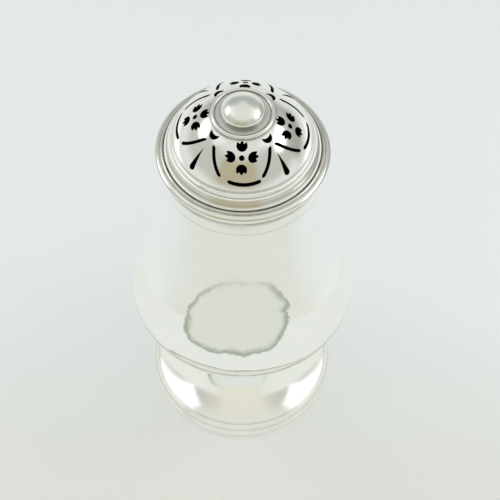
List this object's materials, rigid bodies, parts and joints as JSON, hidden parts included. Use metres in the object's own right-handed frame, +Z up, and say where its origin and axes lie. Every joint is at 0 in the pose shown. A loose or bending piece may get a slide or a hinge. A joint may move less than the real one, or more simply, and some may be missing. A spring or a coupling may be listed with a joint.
{
  "type": "pounce pot",
  "caption": "Small silver pear-shaped pot on a spreading round foot, with a domed, pierced pull-off cover and a button knob, for shaking fine powder over wet ink.",
  "frame": {"origin": "centre of the foot's standing face", "axes": "+Z up along the pot's axis, towards the knob; -Y towards the camera of the picture"},
  "size_m": [0.0402, 0.0402, 0.0812],
  "materials": {
    "polished_silver": "polished",
    "moulded_silver": "polished",
    "cast_silver": "polished"
  },
  "bodies": {
    "pot": {"foot_rim_wire": "moulded_silver", "foot_flare": "polished_silver", "pot_base": "polished_silver", "pot_wall": "polished_silver"},
    "cover": {"cover_skirt": "polished_silver", "cover_cornice": "moulded_silver", "cover_dome": "polished_silver", "knob_boss": "cast_silver", "knob_button": "cast_silver"}
  },
  "joints": [
    {"name": "cover_lift", "type": "slide", "parent": "pot", "child": "cover", "axis": [0, 0, 1], "range_m": [0, 0.02]}
  ]
}
